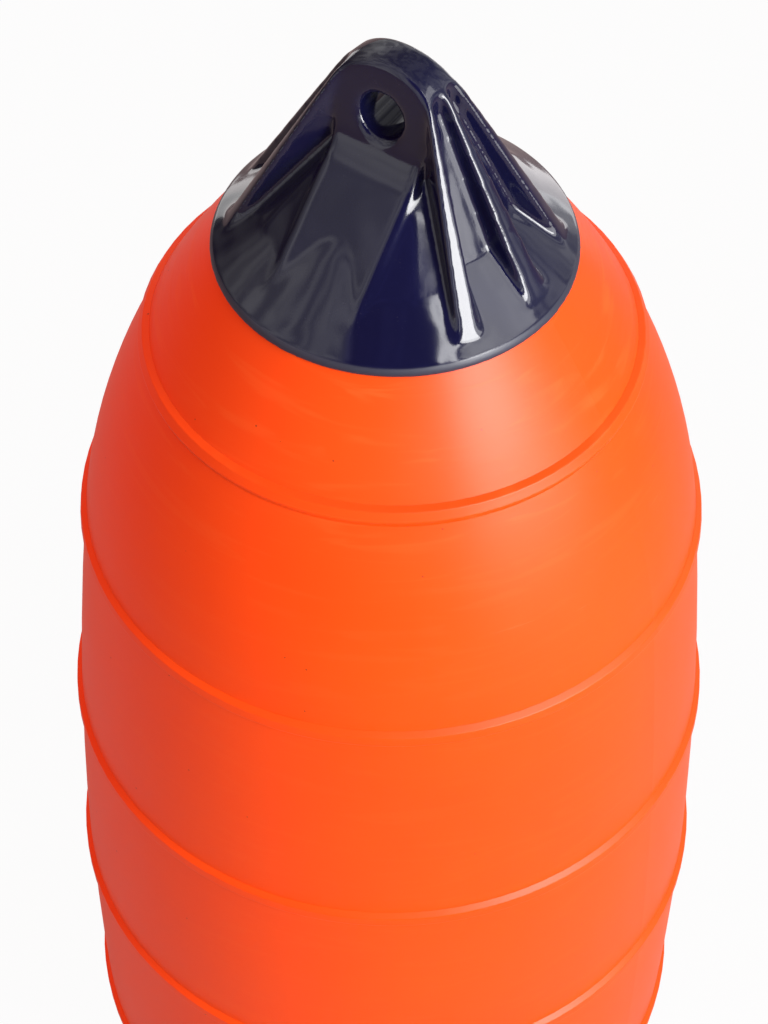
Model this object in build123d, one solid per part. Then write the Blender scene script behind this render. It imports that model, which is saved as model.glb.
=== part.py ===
from build123d import *
from math import acos, atan2, cos, degrees, hypot, radians, sin, tan
import os

# Inflatable low drag buoy: a hollow ringed body, a rope hold moulded over its nose, and an air valve.
# Millimetres, +Z up along the axis. The origin is on the axis at the waterline of the empty buoy,
# and the rope eye runs along Y.

os.makedirs("parts", exist_ok=True)

# Body: the skin leans in from the belly both ways, up to the land that the rope hold's rim sits on
belly_radius = 230
wall = 4.5
flank_radius = 3700
flank_angle = 6
shoulder_radius = 487
seat_land = 6
tail_flank_angle = 3.6
tail_radius = 360
tail_angle = 48
draft = 158

# Rings: where each one's middle lies, along the skin from the belly, up and down
ring_places_up = (25, 204, 392, 563)
ring_places_down = (155, 335)
ring_width = 14
ring_crown_share = 0.5
ring_height = 3.5
ring_round = 1.5

# Rope hold: a skirt on the body's nose, a neck, and ribs that reach out to a cone with a round crown
rim_radius = 117
rim_overhang = 3
rim_height = 6
rim_draft = 2
rim_round = 1.5
skirt_angle = 41
nose_top_radius = 72
neck_foot_radius = 73
neck_top_radius = 20
hold_height = 156
crest_foot_radius = 114
crown_radius = 46

# Pockets between the ribs, in plan, as shares of the rim's radius
pocket_apex_share = (0.117, 0.004)
pocket_near_share = (1.10, 0.107)
pocket_far_share = (0.96, 0.495)

# Open side in front of the eye, and the web that the eye goes through
recess_start = 11
recess_angle = 51
web_width = 64
web_round = 6
face_offset = 18.5
face_angle = 9
face_drop = 27
bend_radius = 45
ramp_reach = 60

# Eye: a bore through the web
eye_radius = 15
eye_cover = 23
eye_round = 2.5

# Valve in a boss on the shoulder, on the far side
valve_drop = 45
boss_radius = 16
boss_height = 2
boss_depth = 14
bush_radius = 9
bush_flange_radius = 12
bush_flange = 1.5
screw_radius = 5
screw_depth = 11
screw_head_radius = 7
screw_head = 2
screw_head_gap = 0.3
slot_width = 1.6
slot_depth = 1.2

overrun = 20
fit_slack = 0.01

# Lean of the skin at the land, so that the shoulder's arc ends there
seat_radius = rim_radius - rim_overhang
flank_end_radius = belly_radius - flank_radius * (1 - cos(radians(flank_angle)))
seat_reach = shoulder_radius * cos(radians(flank_angle)) - (flank_end_radius - seat_radius)
seat_angle = degrees(acos(seat_reach / hypot(shoulder_radius, seat_land)) - atan2(seat_land, shoulder_radius))
nose_angle = 90 - skirt_angle

# Lean of the ribs' crests, from their foot up to the crown's arc
crown_centre = hold_height - crown_radius
crest_angle = degrees(
    acos(crown_radius / hypot(crest_foot_radius, crown_centre)) - atan2(crown_centre, crest_foot_radius)
)
eye_height = hold_height - eye_cover - eye_radius


def inward(angle):
    """Unit normal into the body from a skin that leans in by this angle."""
    return Vector(-cos(radians(angle)), -sin(radians(angle)))


def along(angle):
    """Unit direction up a skin that leans in by this angle."""
    return Vector(-sin(radians(angle)), cos(radians(angle)))


def corner(point, angle_below, angle_above, inset):
    """Where two straight skins meet once both are set in by the same amount."""
    below, above = inward(angle_below), inward(angle_above)
    return point + (below + above) * (inset / (1 + below.dot(above)))


def upper_skin(inset=0):
    """Edges from the belly to the seat of the rope hold, over the nose and in to the axis."""
    flank = JernArc((belly_radius - inset, 0), (0, 1), flank_radius - inset, flank_angle)
    shoulder = JernArc(flank @ 1, flank % 1, shoulder_radius - inset, seat_angle - flank_angle)
    seat = shoulder @ 1 - inward(seat_angle) * inset + along(seat_angle) * seat_land
    nose = seat + along(nose_angle) * ((seat_radius - nose_top_radius) / sin(radians(nose_angle)))
    seat_in = corner(seat, seat_angle, nose_angle, inset)
    nose_in = corner(nose, nose_angle, 90, inset)
    return [
        flank,
        shoulder,
        Line(shoulder @ 1, seat_in),
        Line(seat_in, nose_in),
        Line(nose_in, (0, nose_in.Y)),
    ]


def lower_skin(inset=0):
    """Edges from the belly down to the tail's tip on the axis."""
    flank = JernArc((belly_radius - inset, 0), (0, -1), flank_radius - inset, -tail_flank_angle)
    tail = JernArc(flank @ 1, flank % 1, tail_radius - inset, tail_flank_angle - tail_angle)
    tip_radius = (tail @ 1).X / cos(radians(tail_angle))
    return [flank, tail, JernArc(tail @ 1, tail % 1, tip_radius, tail_angle - 90)]


def outline_face(inset=0):
    """Half section of the body, filled to the axis."""
    upper, lower = upper_skin(inset), lower_skin(inset)
    axis = Line(upper[-1] @ 1, lower[-1] @ 1)
    return make_face(upper + lower + [axis])


def ring_face(edges, place, facing):
    """Section of one ring, standing on the skin that these edges make."""
    skin = Wire(edges)
    spot = skin.position_at(place, position_mode=PositionMode.LENGTH)
    heading = skin.tangent_at(place, position_mode=PositionMode.LENGTH)
    half, crown = ring_width / 2, ring_width * ring_crown_share / 2
    section = make_face(
        Polyline(
            (-half, -ring_height), (-half, 0), (-crown, ring_height),
            (crown, ring_height), (half, 0), (half, -ring_height), close=True,
        )
    )
    section = fillet(section.vertices().group_by(Axis.Y)[-1], ring_round)
    return Plane(origin=spot, x_dir=heading, z_dir=(0, 0, facing)) * section


def solid_of(face):
    """Turn a half section about the axis."""
    return revolve(Plane.XZ * face, Axis.Z)


def valve_plane():
    """Frame on the far side of the shoulder, its Z out of the skin."""
    skin = Wire(upper_skin()[:3])
    distance = skin.length - valve_drop
    spot = skin.position_at(distance, position_mode=PositionMode.LENGTH)
    heading = skin.tangent_at(distance, position_mode=PositionMode.LENGTH)
    return Plane(origin=(0, spot.X, spot.Y), x_dir=(-1, 0, 0), z_dir=(0, heading.Y, -heading.X))


def post(radius, low, high):
    """Upright cylinder between two heights."""
    return Pos(0, 0, low) * Cylinder(radius, high - low, align=(Align.CENTER, Align.CENTER, Align.MIN))


def make_body():
    """Hollow body with its rings and the boss that holds the valve."""
    section = outline_face()
    for place in ring_places_up:
        section += ring_face(upper_skin()[:3], place, -1)
    for place in ring_places_down:
        section += ring_face(lower_skin(), place, 1)
    boss = valve_plane() * post(boss_radius, -boss_depth, boss_height)
    bore = valve_plane() * post(bush_radius, -boss_depth - overrun, boss_height + overrun)
    return solid_of(section) - solid_of(outline_face(wall)) + boss - bore


def make_bush():
    """Flanged bush in the boss."""
    top = boss_height + bush_flange
    bush = post(bush_radius, -boss_depth, top) + post(bush_flange_radius, boss_height, top)
    bush -= post(screw_radius, -boss_depth - overrun, top + overrun)
    bush -= post(screw_head_radius + screw_head_gap, top - screw_head, top + overrun)
    return valve_plane() * bush


def make_screw():
    """Slotted screw that closes the valve."""
    top = boss_height + bush_flange
    screw = post(screw_radius, top - screw_head - screw_depth, top)
    screw += post(screw_head_radius, top - screw_head, top)
    slot = Box(2 * screw_head_radius + overrun, slot_width, 2 * slot_depth)
    return valve_plane() * (screw - Pos(0, 0, top) * slot)


def skirt_height(radius):
    """Height of the skirt's outside above the rim's plane."""
    return rim_height + (rim_radius - rim_draft - radius) * tan(radians(skirt_angle))


def crest_face():
    """Half section of the cone that the ribs reach, with the round crown on top."""
    tangent = Vector(0, crown_centre) - inward(crest_angle) * crown_radius
    crown = JernArc(tangent, along(crest_angle), crown_radius, 90 - crest_angle)
    foot = (crest_foot_radius, 0)
    return make_face([Line((0, 0), foot), Line(foot, tangent), crown, Line(crown @ 1, (0, 0))])


def skirt_face():
    """Half section of the skirt, a cone with an upright lip at the rim."""
    lip = [(rim_radius, 0), (rim_radius - rim_draft, rim_height)]
    section = make_face(Polyline((0, 0), *lip, (0, skirt_height(0)), close=True))
    return fillet([section.vertices().sort_by_distance(point)[0] for point in lip], rim_round)


def neck_face():
    """Half section of the neck that stands behind the pockets, carried down to the rim's plane."""
    foot_height = skirt_height(neck_foot_radius)
    lean = (neck_foot_radius - neck_top_radius) / (hold_height - foot_height)
    base = (neck_foot_radius + foot_height * lean, 0)
    return make_face(Polyline((0, 0), base, (neck_top_radius, hold_height), (0, hold_height), close=True))


def pocket(side, end):
    """Prism over one pocket, in plan from its apex out past the rim."""
    points = [
        (x_share * rim_radius * end, y_share * rim_radius * side)
        for x_share, y_share in (pocket_apex_share, pocket_near_share, pocket_far_share)
    ]
    return extrude(make_face(Polyline(*points, close=True)), hold_height + overrun)


def recess():
    """Prism over the open side in front of the eye, from the hold's middle out past the rim."""
    reach = rim_radius + overrun
    spread = recess_start + reach * tan(radians(recess_angle))
    plan = Polyline((-recess_start, 0), (-spread, -reach), (spread, -reach), (recess_start, 0), close=True)
    return extrude(make_face(plan), hold_height + overrun)


def air_face():
    """Side section of the air in front of the web: over its top, down the face and down the ramp."""
    lean = tan(radians(face_angle))
    brow = (face_offset - (hold_height - eye_height) * lean, hold_height)
    bend = (face_offset + face_drop * lean, eye_height - face_drop)
    slope = (bend[1] - skirt_height(ramp_reach)) / (ramp_reach - bend[0])
    reach = rim_radius + overrun
    out = (reach, bend[1] - slope * (reach - bend[0]))
    top = hold_height + overrun
    section = make_face(Polyline((0, hold_height), brow, bend, out, (reach, top), (0, top), close=True))
    section = fillet(section.vertices().sort_by_distance(brow)[0], web_round)
    return fillet(section.vertices().sort_by_distance(bend)[0], bend_radius)


def eye_mouths(web):
    """The edges where the eye comes out through the web's faces."""

    def is_rim(edge):
        spots = [edge @ 0, edge @ 0.5, edge @ 1]
        return all(abs(hypot(spot.X, spot.Z - eye_height) - eye_radius) < fit_slack for spot in spots)

    return web.edges().filter_by(GeomType.LINE, reverse=True).filter_by(is_rim)


def make_web(crest, eye):
    """Web across the middle, with the eye through it and a ramp down to the skirt on each side."""
    web = crest & Box(web_width, 2 * rim_radius, 2 * hold_height)
    air = extrude(Plane.YZ * air_face(), web_width, both=True)
    web -= air
    web -= mirror(air, Plane.XZ)
    web -= eye
    return fillet(eye_mouths(web), eye_round)


def make_hold():
    """Rope hold, in its own frame with the rim's plane at zero."""
    crest = solid_of(crest_face())
    eye = Pos(0, 0, eye_height) * Rot(90, 0, 0) * Cylinder(eye_radius, 2 * rim_radius)
    ribs, neck = crest, solid_of(crest_face() & neck_face())
    for open_side in (recess(), mirror(recess(), Plane.XZ)):
        ribs -= open_side
        neck -= open_side
    for side in (-1, 1):
        for end in (-1, 1):
            ribs -= pocket(side, end)
    return solid_of(skirt_face()) + (ribs + neck) + make_web(crest, eye) - eye


seat_height = (upper_skin()[2] @ 1).Y
tip_depth = (lower_skin()[-1] @ 1).Y
lift = Pos(0, 0, -tip_depth - draft)

parts = {
    "body_shell": make_body(),
    "rope_hold": Pos(0, 0, seat_height) * make_hold() - solid_of(outline_face()),
    "valve_bush": make_bush(),
    "valve_screw": make_screw(),
}

for name, piece in parts.items():
    placed = lift * piece
    placed.label = name
    export_step(placed, f"parts/{name}.step")
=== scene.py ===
"""Low drag buoy: orange soft-vinyl body, navy rope hold, valve, white floor at the waterline.

Metres, +Z up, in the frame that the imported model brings. The rope hold that shows is a softened
copy of the solid one. The other pieces are the solids' own meshes.
"""
from math import cos, pi, radians, sin

import bmesh
import bpy
from mathutils import Matrix, Vector


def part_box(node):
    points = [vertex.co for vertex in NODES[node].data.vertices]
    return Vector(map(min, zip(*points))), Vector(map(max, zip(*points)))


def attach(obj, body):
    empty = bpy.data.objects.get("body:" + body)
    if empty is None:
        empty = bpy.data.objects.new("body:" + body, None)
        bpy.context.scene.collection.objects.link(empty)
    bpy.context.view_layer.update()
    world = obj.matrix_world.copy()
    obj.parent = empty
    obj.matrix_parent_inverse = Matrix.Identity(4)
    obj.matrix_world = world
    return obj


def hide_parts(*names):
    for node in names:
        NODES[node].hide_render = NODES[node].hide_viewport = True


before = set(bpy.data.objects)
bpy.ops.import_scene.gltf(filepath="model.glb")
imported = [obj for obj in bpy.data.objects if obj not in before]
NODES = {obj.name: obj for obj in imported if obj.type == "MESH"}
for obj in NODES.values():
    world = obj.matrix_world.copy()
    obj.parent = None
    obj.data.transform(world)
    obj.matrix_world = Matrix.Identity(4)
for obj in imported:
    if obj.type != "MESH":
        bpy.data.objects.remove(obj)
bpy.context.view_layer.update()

MM = 0.001

# Camera: the photograph's frame is 768 by 1024, and its long side takes the whole sensor
SENSOR_MM = 36
FRAME_LONG_SIDE = 1024
FOCAL_PIXELS = 3000
CAMERA_AZIMUTH = 33.5
CAMERA_ELEVATION = 49.45
CAMERA_ROLL = 0.72
CAMERA_DISTANCE = 2.068
AIM_HEIGHT = 0.739
AIM_RIGHT = -0.0049
AIM_UP = -0.0059

# Rope hold: weld, remesh cell, share of faces kept, and how far and how often it is relaxed
HOLD_WELD = 0.01 * MM
HOLD_VOXEL = 1.15 * MM
HOLD_KEEP_SHARE = 0.59
SMOOTH_SHARE = 0.5
HOLD_SMOOTH_PASSES = 16
RIB_SMOOTH_PASSES = 44
LAST_SMOOTH_PASSES = 2

# The rib passes take what lies over RIB_FOOT and within TIP_END: by this share of each pass, and
# fully past TIP_FULL, where the tips of the ribs fade into the skirt
RIB_SMOOTH_SHARE = 0.7
RIB_FOOT = 9 * MM
TIP_START = 84 * MM
TIP_FULL = 100 * MM
TIP_END = 112 * MM

# Soft fillings of one quarter, in millimetres from the middle of the rim's plane. The cheek is
# beside the eye, as corners (across, out, up). The apron is between the ramp and the first rib, as
# the two edges of a slice of a cone: radius, height and angles from the eye's axis.
CHEEK_CORNERS = (
    (25, 12, 103), (38, 12, 103), (38, 19.6, 103), (25, 19.6, 103),
    (25, 12, 132), (37, 12, 132), (37, 15.2, 132), (25, 15.2, 132),
)
APRON_TOP = (36, 88, (47, 54, 61))
APRON_FOOT = (84, 34, (22, 42, 61))
APRON_DEPTH = 10

# Orange vinyl
ORANGE_DEEP = (0.92, 0.066, 0.0006)
ORANGE_LIGHT = (0.96, 0.088, 0.001)
ORANGE_STREAK = (0.98, 0.14, 0.02)
ORANGE_SCUFF = (0.96, 0.20, 0.08)
# Painted shade: dark orange laid into the creases beside the rings, and how far the occlusion that places
# it reaches
ORANGE_PAINTED_SHADE = (0.36, 0.014, 0.002)
ORANGE_SPECK = (0.16, 0.02, 0.008)
ORANGE_ROUGHNESS = 0.33
ORANGE_SPECULAR = 0.22
SHOULDER_START = 0.80
SHOULDER_FULL = 0.98
PAINTED_SHADE_REACH = 5 * MM
SPECK_SCALE = 60

# Navy vinyl
NAVY_DEEP = (0.0042, 0.0042, 0.021)
NAVY_LIGHT = (0.006, 0.0065, 0.036)
NAVY_DUST = (0.10, 0.10, 0.13)
NAVY_LIP = (0.023, 0.026, 0.046)
NAVY_ROUGHNESS = 0.07
NAVY_SPECULAR = 0.45
LIP_ADDED_ROUGHNESS = 0.36
LIP_HEIGHT = 6.5 * MM
LIP_BLEND = 0.8 * MM

# Valve
BUSH_DARK = (0.012, 0.012, 0.014)
BUSH_LIGHT = (0.022, 0.022, 0.026)
BUSH_ROUGHNESS = 0.34
SCREW_DARK = (0.03, 0.03, 0.034)
SCREW_LIGHT = (0.05, 0.05, 0.055)
SCREW_ROUGHNESS = 0.30
VALVE_SPECULAR = 0.5

# Room: strengths, where 1 is the camera's white, and the shares that its dim places take off
ROOM_LEVEL = 0.68
GLOSS_LEVEL = 0.6
CURTAIN_GAIN = 0.9
ROSY = (1, 0.25, 0.21)
ROSY_GAIN = 0.35
DIM_BLUE = (0.25, 0.25, 1)
DIM_LOSS = 0.72
BEHIND_LOSS = 0.6
LOW_LEFT_LOSS = 0.88

# Floor: how far it reaches, and its share of plain white to the camera and in reflections
FLOOR_REACH = 8
FLOOR_COLOUR = (0.45, 0.44, 0.43, 1)
FLOOR_SEEN = 0.96
FLOOR_GLOSS = 0.1

LAMP_TARGET = Vector((0, 0, 0.85))
LAMP_DISTANCE = 3.0


class Socket:
    """A shader socket that takes part in sums: numbers, and other sockets, go on either side."""

    def __init__(self, tree, socket):
        self.tree = tree
        self.socket = socket

    def math(self, operation, other, swapped=False):
        values = (other, self) if swapped else (self, other)
        return node(self.tree, "ShaderNodeMath", {"operation": operation}, values)

    def __add__(self, other):
        return self.math("ADD", other)

    def __radd__(self, other):
        return self.math("ADD", other)

    def __sub__(self, other):
        return self.math("SUBTRACT", other)

    def __rsub__(self, other):
        return self.math("SUBTRACT", other, swapped=True)

    def __mul__(self, other):
        return self.math("MULTIPLY", other)

    def __rmul__(self, other):
        return self.math("MULTIPLY", other)


def node(tree, kind, settings=None, values=(), output=0):
    """One node: its settings first, then its sockets by place or by name, and one output."""
    made = tree.nodes.new(kind)
    for name, value in (settings or {}).items():
        setattr(made, name, value)
    pairs = values.items() if isinstance(values, dict) else enumerate(values)
    for name, value in pairs:
        if isinstance(value, Socket):
            tree.links.new(value.socket, made.inputs[name])
        else:
            made.inputs[name].default_value = value
    return Socket(tree, made.outputs[output])


def step(value, low, high):
    """0 below low, 1 above high and a soft rise between."""
    settings = {"interpolation_type": "SMOOTHSTEP"}
    values = {"Value": value, "From Min": low, "From Max": high}
    return node(value.tree, "ShaderNodeMapRange", settings, values)


def mix_colour(share, first, second):
    """Blend of two colours, each a triple or a socket, with this share of the second."""
    first, second = (c if isinstance(c, Socket) else (*c, 1) for c in (first, second))
    values = {0: share, 6: first, 7: second}
    return node(share.tree, "ShaderNodeMix", {"data_type": "RGBA"}, values, output=2)


def stretch(vector, factors):
    """The vector with each component times its own factor."""
    return node(vector.tree, "ShaderNodeVectorMath", {"operation": "MULTIPLY"}, (vector, factors))


def place_of(tree):
    """The object's own coordinates in metres."""
    return node(tree, "ShaderNodeTexCoord", output="Object")


def part_of(vector, axis):
    """One component of a vector."""
    return node(vector.tree, "ShaderNodeSeparateXYZ", values=(vector,), output=axis)


def noise(vector, scale, detail=2.0, roughness=0.5, twist=0.0):
    """Soft cloudy pattern from 0 to 1."""
    values = {
        "Vector": vector,
        "Scale": scale,
        "Detail": detail,
        "Roughness": roughness,
        "Distortion": twist,
    }
    return node(vector.tree, "ShaderNodeTexNoise", values=values)


def cells(vector, scale, output="Distance"):
    """Distance to the nearest of many scattered points, or one of their other outputs."""
    values = {"Vector": vector, "Scale": scale}
    return node(vector.tree, "ShaderNodeTexVoronoi", values=values, output=output)


def bump(height, depth, strength, under=None):
    """A relief of this depth in metres, over another relief where one is given."""
    values = {"Strength": strength, "Distance": depth, "Height": height}
    if under is not None:
        values["Normal"] = under
    return node(height.tree, "ShaderNodeBump", values=values)


def ray(tree, kind):
    """1 for rays of this kind."""
    return node(tree, "ShaderNodeLightPath", output=kind)


def facing(heading, azimuth, elevation):
    """How closely a heading points this way, from -1 to 1."""
    values = (heading, tuple(back_from(azimuth, elevation)))
    return node(heading.tree, "ShaderNodeVectorMath", {"operation": "DOT_PRODUCT"}, values, output="Value")


def new_material(name):
    """An empty node material and its tree."""
    material = bpy.data.materials.new(name)
    material.use_nodes = True
    material.node_tree.nodes.clear()
    return material, material.node_tree


def put_out(kind, shader):
    """Put the shader on the surface, or on the world."""
    out = shader.tree.nodes.new(kind)
    shader.tree.links.new(shader.socket, out.inputs["Surface"])


def coat(colour, roughness, specular, relief):
    """Cover the material's surface in plastic of this colour, roughness, gloss and relief."""
    values = {
        "Base Color": colour,
        "Roughness": roughness,
        "Specular IOR Level": specular,
        "Normal": relief,
    }
    plastic = node(colour.tree, "ShaderNodeBsdfPrincipled", values=values)
    put_out("ShaderNodeOutputMaterial", plastic)


def orange_vinyl():
    """Satin vinyl: faint clouds, flow lines on the shoulder, specks, scuffs, and painted shade in the
    creases beside the rings.
    """
    material, tree = new_material("orange vinyl")
    place = place_of(tree)
    shoulder = step(part_of(place, "Z"), SHOULDER_START, SHOULDER_FULL)
    clouds = noise(place, scale=7, detail=3, roughness=0.55)
    flow = noise(stretch(place, (8, 8, 80)), scale=1.4, detail=2, roughness=0.55, twist=1.0)
    streaks = step(flow, 0.52, 0.70) * (0.25 + 0.75 * shoulder)
    scratches = noise(stretch(place, (9, 9, 160)), scale=1, detail=4, roughness=0.7, twist=0.4)
    scuffs = step(scratches, 0.66, 0.74) * step(noise(place, scale=3.2, detail=1), 0.52, 0.62)
    chosen = step(part_of(cells(place, SPECK_SCALE, "Color"), "X"), 0.60, 0.62)
    specks = (1 - step(cells(place, SPECK_SCALE), 0.025, 0.050)) * chosen
    # Painted shade: ambient occlusion darkens the colour in the creases beside the rings
    corner = node(tree, "ShaderNodeAmbientOcclusion", {"samples": 8}, {"Distance": PAINTED_SHADE_REACH}, output="AO")
    painted_shade = 1 - step(corner, 0.45, 0.80)

    colour = mix_colour(clouds, ORANGE_DEEP, ORANGE_LIGHT)
    colour = mix_colour(streaks * 0.35, colour, ORANGE_STREAK)
    colour = mix_colour(scuffs * 0.30, colour, ORANGE_SCUFF)
    colour = mix_colour(painted_shade * 0.75, colour, ORANGE_PAINTED_SHADE)
    colour = mix_colour(specks * 0.7, colour, ORANGE_SPECK)

    roughness = ORANGE_ROUGHNESS + 0.10 * clouds + 0.10 * scuffs + 0.05 * streaks
    swell = bump(noise(place, scale=4.5, detail=1), depth=3 * MM, strength=0.5)
    ripple = bump(flow * shoulder, depth=0.45 * MM, strength=0.5, under=swell)
    grain = bump(noise(place, scale=420), depth=0.10 * MM, strength=0.35, under=ripple)
    coat(colour, roughness, ORANGE_SPECULAR, grain)
    return material


def navy_vinyl(rim_height):
    """Glossy vinyl with faint smears and dust, and a matte lip along the rim."""
    material, tree = new_material("navy vinyl")
    place = place_of(tree)
    lip_top = rim_height + LIP_HEIGHT
    lip = 1 - step(part_of(place, "Z"), lip_top - LIP_BLEND, lip_top + LIP_BLEND)
    clouds = noise(place, scale=16, detail=3)
    wipes = noise(stretch(place, (30, 30, 9)), scale=1, detail=4, roughness=0.65, twist=0.8)
    smears = step(wipes, 0.50, 0.75)
    dust = step(noise(place, scale=900), 0.66, 0.76) * step(noise(place, scale=40), 0.5, 0.7)

    colour = mix_colour(clouds, NAVY_DEEP, NAVY_LIGHT)
    colour = mix_colour(dust * 0.25, colour, NAVY_DUST)
    colour = mix_colour(lip * 0.85, colour, NAVY_LIP)

    roughness = NAVY_ROUGHNESS + 0.05 * clouds + 0.07 * smears + LIP_ADDED_ROUGHNESS * lip
    waves = noise(place, scale=22, detail=1, roughness=0.4, twist=0.6)
    swell = bump(waves, depth=1.6 * MM, strength=0.5)
    grain = bump(noise(place, scale=700, detail=3), depth=0.10 * MM, strength=0.10, under=swell)
    coat(colour, roughness, NAVY_SPECULAR, grain)
    return material


def satin_plastic(name, dark, light, least_roughness):
    """Hard moulded plastic for the valve."""
    material, tree = new_material(name)
    place = place_of(tree)
    clouds = noise(place, scale=160, detail=3)
    colour = mix_colour(clouds, dark, light)
    grain = bump(noise(place, scale=2200), depth=0.05 * MM, strength=0.4)
    coat(colour, least_roughness + 0.12 * clouds, VALVE_SPECULAR, grain)
    return material


def dress(piece, material):
    """Give a piece its finish."""
    slots = piece.data.materials
    slots.clear()
    slots.append(material)


def apron_corners():
    """Corners of the slice of a cone between the ramp and the first rib."""
    for radius, up, angles in (APRON_TOP, APRON_FOOT):
        for angle in angles:
            for drop in (0, APRON_DEPTH):
                yield radius * sin(radians(angle)), radius * cos(radians(angle)), up - drop


def add_filling(form, corners, rim_height):
    """A closed convex lump round these corners, on all four quarters of the hold."""
    for side in (-1, 1):
        for end in (-1, 1):
            spots = [(side * x * MM, end * y * MM, rim_height + z * MM) for x, y, z in corners]
            bmesh.ops.convex_hull(form, input=[form.verts.new(spot) for spot in spots])


def filled_hold(rim_height):
    """A copy of the solid rope hold's mesh with the fillings in it."""
    form = bmesh.new()
    form.from_mesh(NODES["rope_hold"].data)
    bmesh.ops.remove_doubles(form, verts=form.verts, dist=HOLD_WELD)
    for corners in (CHEEK_CORNERS, tuple(apron_corners())):
        add_filling(form, corners, rim_height)
    mesh = bpy.data.meshes.new("rope_hold_soft")
    form.to_mesh(mesh)
    form.free()
    return mesh


def add_smooth(piece, passes):
    """Relax the mesh this many times."""
    smooth = piece.modifiers.new("smooth", "SMOOTH")
    smooth.factor = SMOOTH_SHARE
    smooth.iterations = passes
    return smooth


def apply_modifiers(piece):
    """Work the piece's modifiers into its mesh."""
    bpy.context.view_layer.update()
    done = bpy.data.meshes.new_from_object(piece.evaluated_get(bpy.context.evaluated_depsgraph_get()))
    piece.modifiers.clear()
    piece.data = done


def weigh_ribs(hold, rim_height):
    """Vertex group that says how far each place of the ribs is relaxed."""
    ribs = hold.vertex_groups.new(name="ribs")
    for vertex in hold.data.vertices:
        radius = vertex.co.xy.length
        if vertex.co.z - rim_height > RIB_FOOT and radius < TIP_END:
            tip = min(1, max(0, (radius - TIP_START) / (TIP_FULL - TIP_START)))
            ribs.add([vertex.index], RIB_SMOOTH_SHARE + (1 - RIB_SMOOTH_SHARE) * tip, "REPLACE")
    return ribs


def soften_hold(rim_height):
    """The rope hold with every edge and inner corner rounded, as soft vinyl comes out of its mould."""
    hold = bpy.data.objects.new("rope_hold_soft", filled_hold(rim_height))
    bpy.context.scene.collection.objects.link(hold)
    remesh = hold.modifiers.new("remesh", "REMESH")
    remesh.mode = "VOXEL"
    remesh.voxel_size = HOLD_VOXEL
    add_smooth(hold, HOLD_SMOOTH_PASSES)
    apply_modifiers(hold)

    ribs = weigh_ribs(hold, rim_height)
    add_smooth(hold, RIB_SMOOTH_PASSES).vertex_group = ribs.name
    hold.modifiers.new("thin out", "DECIMATE").ratio = HOLD_KEEP_SHARE
    add_smooth(hold, LAST_SMOOTH_PASSES)
    apply_modifiers(hold)
    hold.vertex_groups.clear()
    for face in hold.data.polygons:
        face.use_smooth = True
    return hold


def back_from(azimuth, elevation):
    """Unit direction from the buoy to a place seen at this azimuth and elevation."""
    a, e = radians(azimuth), radians(elevation)
    return Vector((sin(a) * cos(e), -cos(a) * cos(e), sin(e)))


def look_along(back):
    """Turn of a camera or a lamp that looks against this direction, with its up side up."""
    return (-back).to_track_quat("-Z", "Y").to_matrix().to_4x4()


def place_camera():
    """Camera at the photograph's angle."""
    data = bpy.data.cameras.new("camera")
    data.sensor_width = SENSOR_MM
    data.lens = SENSOR_MM * FOCAL_PIXELS / FRAME_LONG_SIDE
    camera = bpy.data.objects.new("camera", data)
    bpy.context.scene.collection.objects.link(camera)
    back = back_from(CAMERA_AZIMUTH, CAMERA_ELEVATION)
    turn = look_along(back) @ Matrix.Rotation(radians(CAMERA_ROLL), 4, "Z")
    right, up = turn.col[0].xyz, turn.col[1].xyz
    spot = Vector((0, 0, AIM_HEIGHT)) + right * AIM_RIGHT + up * AIM_UP + back * CAMERA_DISTANCE
    camera.matrix_world = Matrix.Translation(spot) @ turn
    bpy.context.scene.camera = camera


def lamp(name, azimuth, elevation, size, radiance, gloss_only=True):
    """Soft lamp, out of the camera's sight, that points at the buoy's shoulder."""
    data = bpy.data.lights.new(name, "AREA")
    data.shape = "RECTANGLE"
    data.size, data.size_y = size
    data.energy = radiance * pi * size[0] * size[1]
    piece = bpy.data.objects.new(name, data)
    bpy.context.scene.collection.objects.link(piece)
    back = back_from(azimuth, elevation)
    piece.matrix_world = Matrix.Translation(LAMP_TARGET + back * LAMP_DISTANCE) @ look_along(back)
    piece.visible_camera = False
    piece.visible_diffuse = not gloss_only


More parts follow.
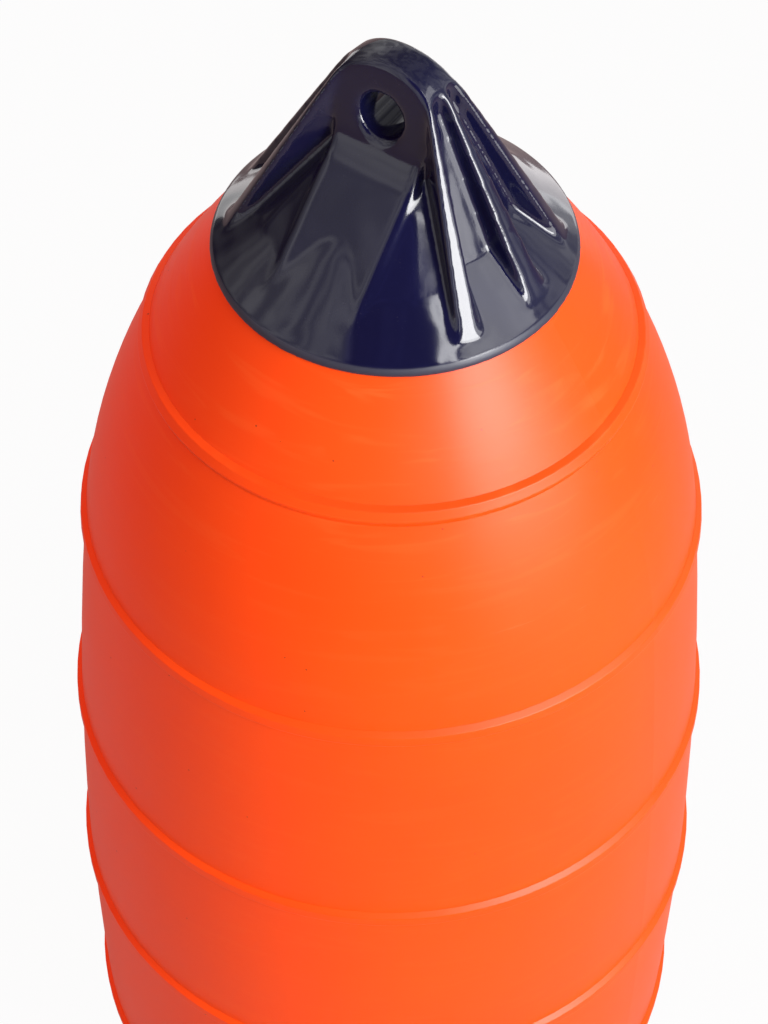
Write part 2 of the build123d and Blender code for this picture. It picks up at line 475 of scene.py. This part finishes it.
def light_world():
    """White for the camera, and a soft room for the rest.

    Plain surfaces get it rosy on the left. Gloss shows curtains in it, dim blue behind the
    photographer, and dim places high behind the buoy and low on the left.
    """
    world = bpy.data.worlds.new("studio")
    bpy.context.scene.world = world
    world.use_nodes = True
    tree = world.node_tree
    tree.nodes.clear()
    seen = ray(tree, "Is Camera Ray") + ray(tree, "Is Transmission Ray")
    gloss = ray(tree, "Is Glossy Ray")
    plain = 1 - seen - gloss
    heading = node(tree, "ShaderNodeTexCoord", output="Generated")

    dim = step(facing(heading, azimuth=36, elevation=42), 0.86, 0.94)
    behind = step(facing(heading, azimuth=180, elevation=55), 0.75, 0.92)
    low_left = step(facing(heading, azimuth=-95, elevation=-30), 0.40, 0.85)
    rosy = step(facing(heading, azimuth=-75, elevation=5), -0.3, 0.7) * plain
    curtains = noise(stretch(heading, (1, 1, 0.3)), scale=6.5, detail=1, twist=1.1)

    kept = (1 - DIM_LOSS * dim) * (1 - BEHIND_LOSS * behind) * (1 - LOW_LEFT_LOSS * low_left)
    reflected = kept * (GLOSS_LEVEL + CURTAIN_GAIN * step(curtains, 0.40, 0.62))
    strength = seen + gloss * reflected + plain * ROOM_LEVEL * (1 + ROSY_GAIN * rosy)
    colour = mix_colour(rosy, (1, 1, 1), ROSY)
    colour = mix_colour(dim * gloss, colour, DIM_BLUE)
    shader = node(tree, "ShaderNodeBackground", values={"Color": colour, "Strength": strength})
    put_out("ShaderNodeOutputWorld", shader)


def lay_floor():
    """White floor at the waterline, which keeps a faint shadow of the buoy."""
    mesh = bpy.data.meshes.new("floor")
    r = FLOOR_REACH
    mesh.from_pydata([(-r, -r, 0), (r, -r, 0), (r, r, 0), (-r, r, 0)], [], [(0, 1, 2, 3)])
    floor = bpy.data.objects.new("floor", mesh)
    bpy.context.scene.collection.objects.link(floor)
    material, tree = new_material("floor white")
    seen = ray(tree, "Is Camera Ray") * FLOOR_SEEN + ray(tree, "Is Glossy Ray") * FLOOR_GLOSS
    diffuse = node(tree, "ShaderNodeBsdfDiffuse", values={"Color": FLOOR_COLOUR})
    glow = node(tree, "ShaderNodeEmission", values={"Color": (1, 1, 1, 1), "Strength": 1.0})
    put_out("ShaderNodeOutputMaterial", node(tree, "ShaderNodeMixShader", values=(seen, diffuse, glow)))
    mesh.materials.append(material)


rim_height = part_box("rope_hold")[0].z
hold = soften_hold(rim_height)
dress(hold, navy_vinyl(rim_height))
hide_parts("rope_hold")
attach(hold, "root")
dress(NODES["body_shell"], orange_vinyl())
dress(NODES["valve_bush"], satin_plastic("valve black", BUSH_DARK, BUSH_LIGHT, BUSH_ROUGHNESS))
dress(NODES["valve_screw"], satin_plastic("screw grey", SCREW_DARK, SCREW_LIGHT, SCREW_ROUGHNESS))

place_camera()
light_world()
lay_floor()
lamp("key", azimuth=79, elevation=20, size=(1.4, 1.4), radiance=18, gloss_only=False)
lamp("window", azimuth=67, elevation=48, size=(0.2, 1.0), radiance=12)
lamp("upper side", azimuth=100, elevation=41, size=(2.0, 1.0), radiance=3.4)
lamp("soft side", azimuth=87, elevation=8, size=(2.2, 2.0), radiance=5)
lamp("slim side", azimuth=44, elevation=15, size=(0.35, 0.6), radiance=4)
lamp("back", azimuth=-172, elevation=-9, size=(1.6, 0.8), radiance=2.2)
lamp("left back", azimuth=-116, elevation=-4, size=(1.0, 0.6), radiance=2)

bpy.context.scene.view_settings.view_transform = "Standard"
